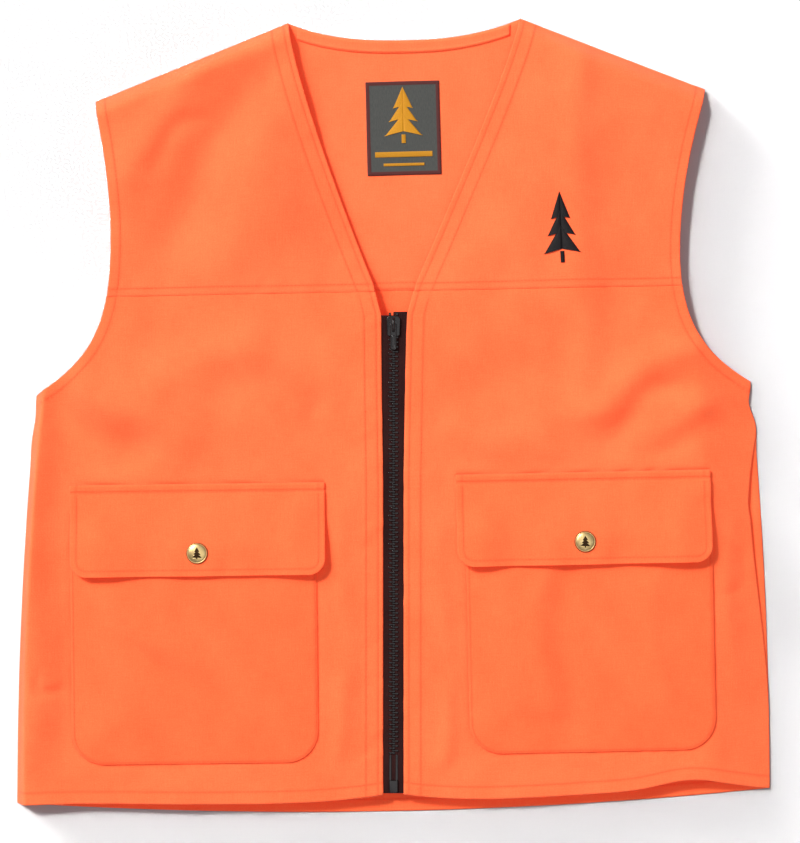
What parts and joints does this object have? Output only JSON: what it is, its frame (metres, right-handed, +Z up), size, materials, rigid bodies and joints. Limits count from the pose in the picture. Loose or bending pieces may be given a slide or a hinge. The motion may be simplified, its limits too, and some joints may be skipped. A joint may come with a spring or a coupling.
{
  "type": "blaze orange field vest",
  "caption": "Sleeveless high-visibility field vest with V-neck, yokes, full zip and two snap-flap patch pockets, zipped and lying flat on its back.",
  "frame": {"origin": "middle of the vest's outline as laid, on the surface it lies on", "axes": "+Z up, away from the surface it lies on; +Y towards the neck, along the zip; +X towards the wearer's left"},
  "size_m": [0.589, 0.6211, 0.0275],
  "materials": {
    "shell_fabric": "matt polyester twill, blaze orange",
    "inside_fabric": "matt polyester twill, wrong side out, blaze orange",
    "pocket_fabric": "matt polyester twill, blaze orange",
    "zip_tape": "woven polyester tape, brown-black",
    "zip_plastic": "moulded, satin black",
    "snap_brass": "antique, darkened in the hollows",
    "label_fabric": "woven satin label, slate grey",
    "emblem_thread": "embroidered satin stitch, black"
  },
  "bodies": {
    "vest": {"back_panel": "shell_fabric", "back_yoke": "inside_fabric", "back_neck_facing": "inside_fabric", "front_panel_right": "shell_fabric", "front_panel_left": "shell_fabric", "front_yoke_right": "shell_fabric", "front_yoke_left": "shell_fabric", "front_facing_right": "inside_fabric", "front_facing_left": "inside_fabric", "zip_tape_right": "zip_tape", "zip_tape_left": "zip_tape", "zip_teeth_right": "zip_plastic", "zip_teeth_left": "zip_plastic", "zip_top_stop_right": "zip_plastic", "zip_top_stop_left": "zip_plastic", "zip_box": "zip_plastic", "zip_pin": "zip_plastic", "pocket_right": "pocket_fabric", "pocket_left": "pocket_fabric", "flap_seam_right": "pocket_fabric", "flap_seam_left": "pocket_fabric", "snap_stud_right": "snap_brass", "snap_stud_left": "snap_brass", "snap_post_right": "snap_brass", "snap_post_left": "snap_brass", "neck_label": "label_fabric", "chest_emblem": "emblem_thread"},
    "zip_slider": {"zip_slider": "zip_plastic"},
    "zip_pull": {"zip_pull": "zip_plastic"},
    "flap_right": {"flap_right": "pocket_fabric", "flap_lining_right": "pocket_fabric", "snap_cap_right": "snap_brass", "snap_socket_right": "snap_brass"},
    "flap_left": {"flap_left": "pocket_fabric", "flap_lining_left": "pocket_fabric", "snap_cap_left": "snap_brass", "snap_socket_left": "snap_brass"}
  },
  "joints": [
    {"name": "zip_slide", "type": "slide", "parent": "vest", "child": "zip_slider", "axis": [0, -1, 0], "range_m": [0, 0.345], "deforming": ["zip_teeth_right", "zip_teeth_left"]},
    {"name": "pull_swing", "type": "hinge", "parent": "zip_slider", "child": "zip_pull", "pos_m": [0, 0.07, 0.0171], "axis": [-1, 0, 0], "range_deg": [0, 150]},
    {"name": "flap_right_lift", "type": "hinge", "parent": "vest", "child": "flap_right", "pos_m": [-0.15262, -0.0604, 0.0169], "axis": [-0.9999, -0.0122, 0], "range_deg": [0, 150]},
    {"name": "flap_left_lift", "type": "hinge", "parent": "vest", "child": "flap_left", "pos_m": [0.14753, -0.0513, 0.0169], "axis": [-0.9998, -0.0209, 0], "range_deg": [0, 150]}
  ]
}
